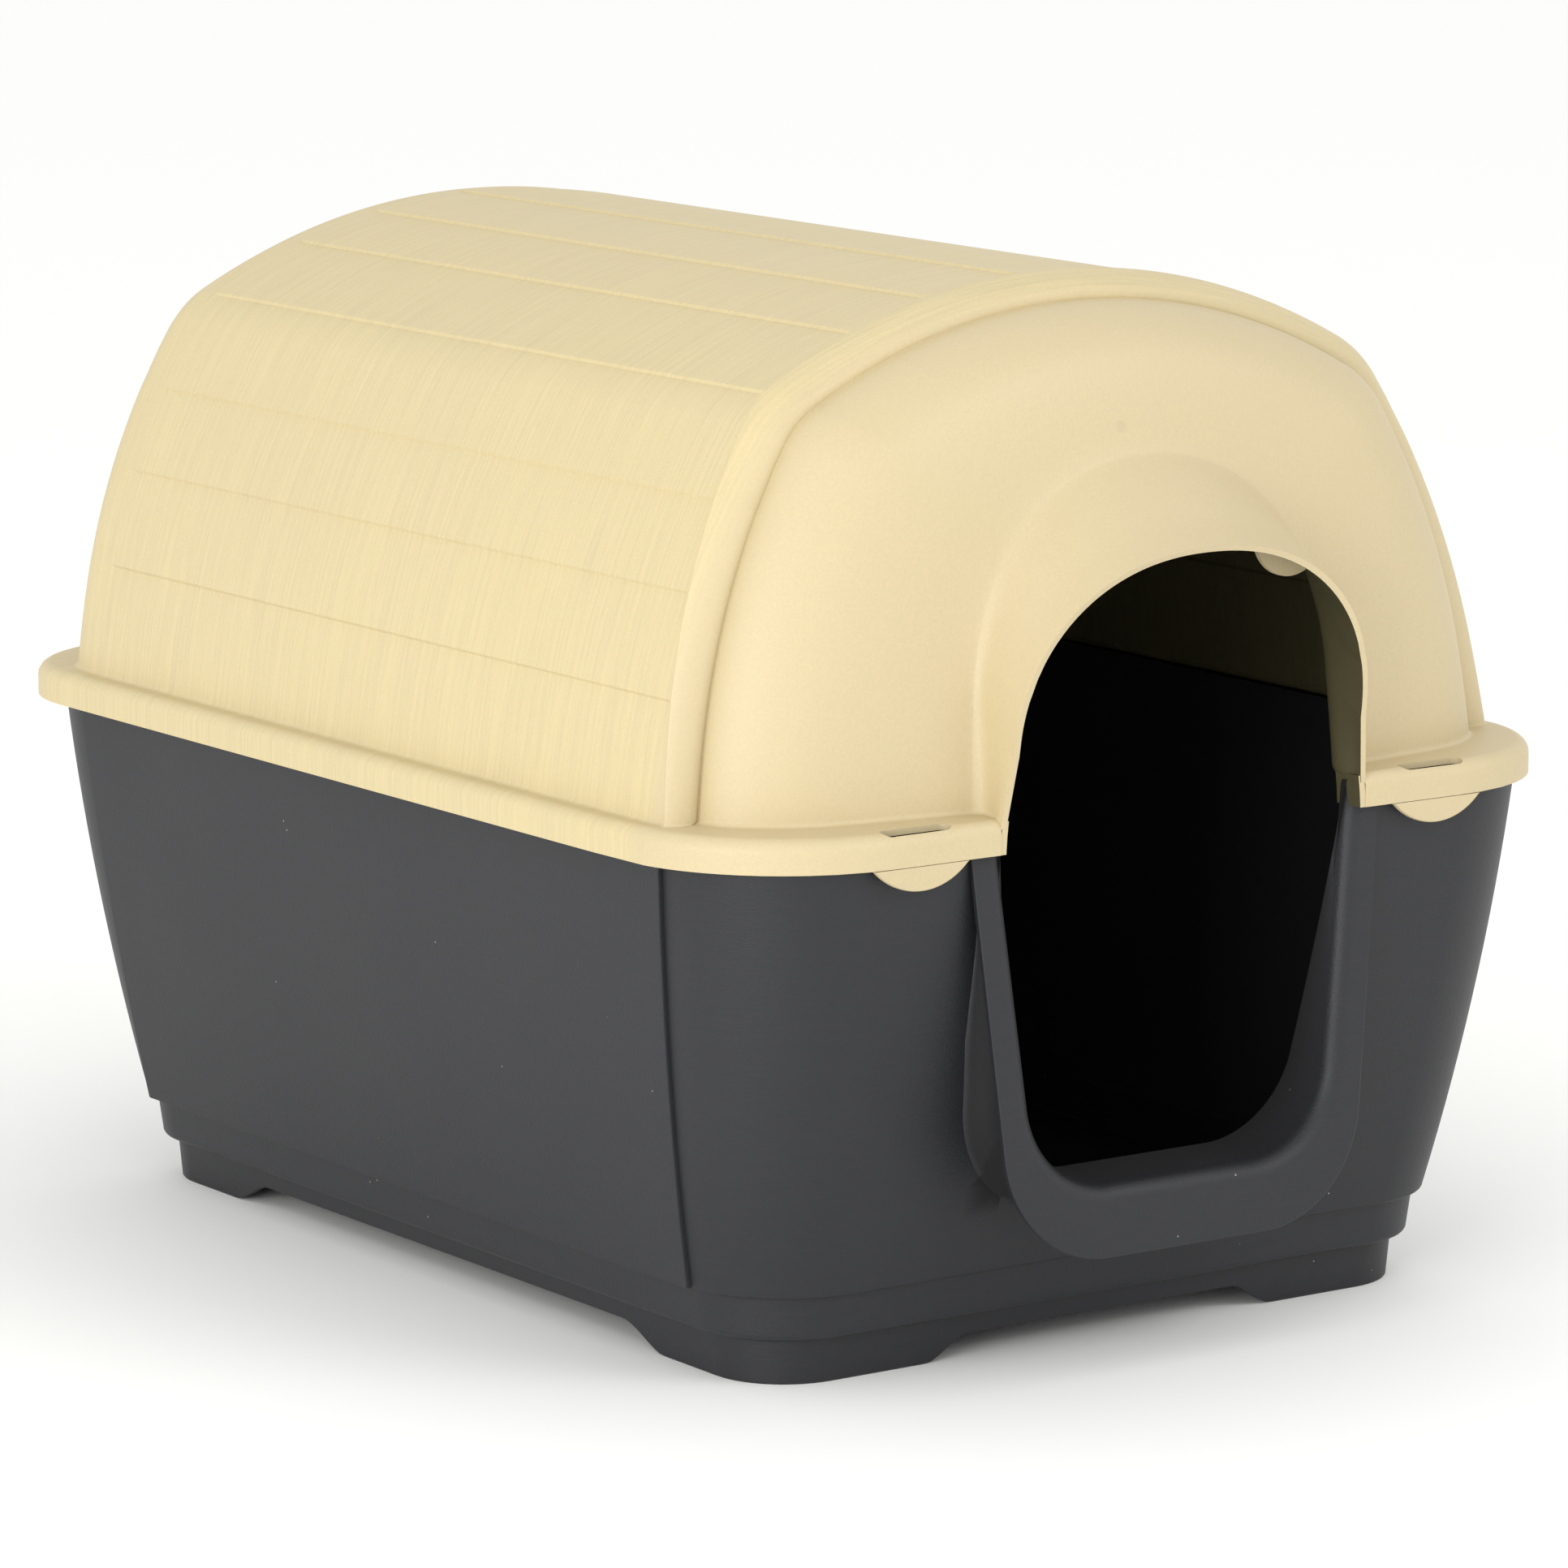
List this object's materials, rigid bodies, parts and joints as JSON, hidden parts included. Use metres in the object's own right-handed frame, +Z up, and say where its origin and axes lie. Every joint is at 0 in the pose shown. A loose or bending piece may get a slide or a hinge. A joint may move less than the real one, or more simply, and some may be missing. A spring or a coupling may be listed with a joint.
{
  "type": "animal hutch",
  "caption": "Small two-piece moulded plastic animal hutch: barrel roof with lapped boards and an arched hood, on a dark tapered tub with a ringed doorway.",
  "frame": {"origin": "ground level, under the middle of the whole object", "axes": "+Z up, the doorway faces -Y, the long side runs along Y"},
  "size_m": [0.52, 0.7199, 0.5144],
  "materials": {
    "roof_plastic": "matte",
    "base_plastic": "matte"
  },
  "bodies": {
    "base": {"base": "base_plastic"},
    "roof": {"roof": "roof_plastic"},
    "latch_left": {"latch_tab_left": "roof_plastic"},
    "latch_right": {"latch_tab_right": "roof_plastic"}
  },
  "joints": [
    {"name": "roof_lift", "type": "slide", "parent": "base", "child": "roof", "axis": [0, 0, 1], "range_m": [0, 0.25]},
    {"name": "latch_left_flex", "type": "hinge", "parent": "roof", "child": "latch_left", "pos_m": [-0.154, -0.342, 0.25785], "axis": [-1, 0, 0], "range_deg": [0, 25], "stiffness_Nm_per_rad": 0.05},
    {"name": "latch_right_flex", "type": "hinge", "parent": "roof", "child": "latch_right", "pos_m": [0.154, -0.342, 0.25785], "axis": [-1, 0, 0], "range_deg": [0, 25], "stiffness_Nm_per_rad": 0.05}
  ]
}
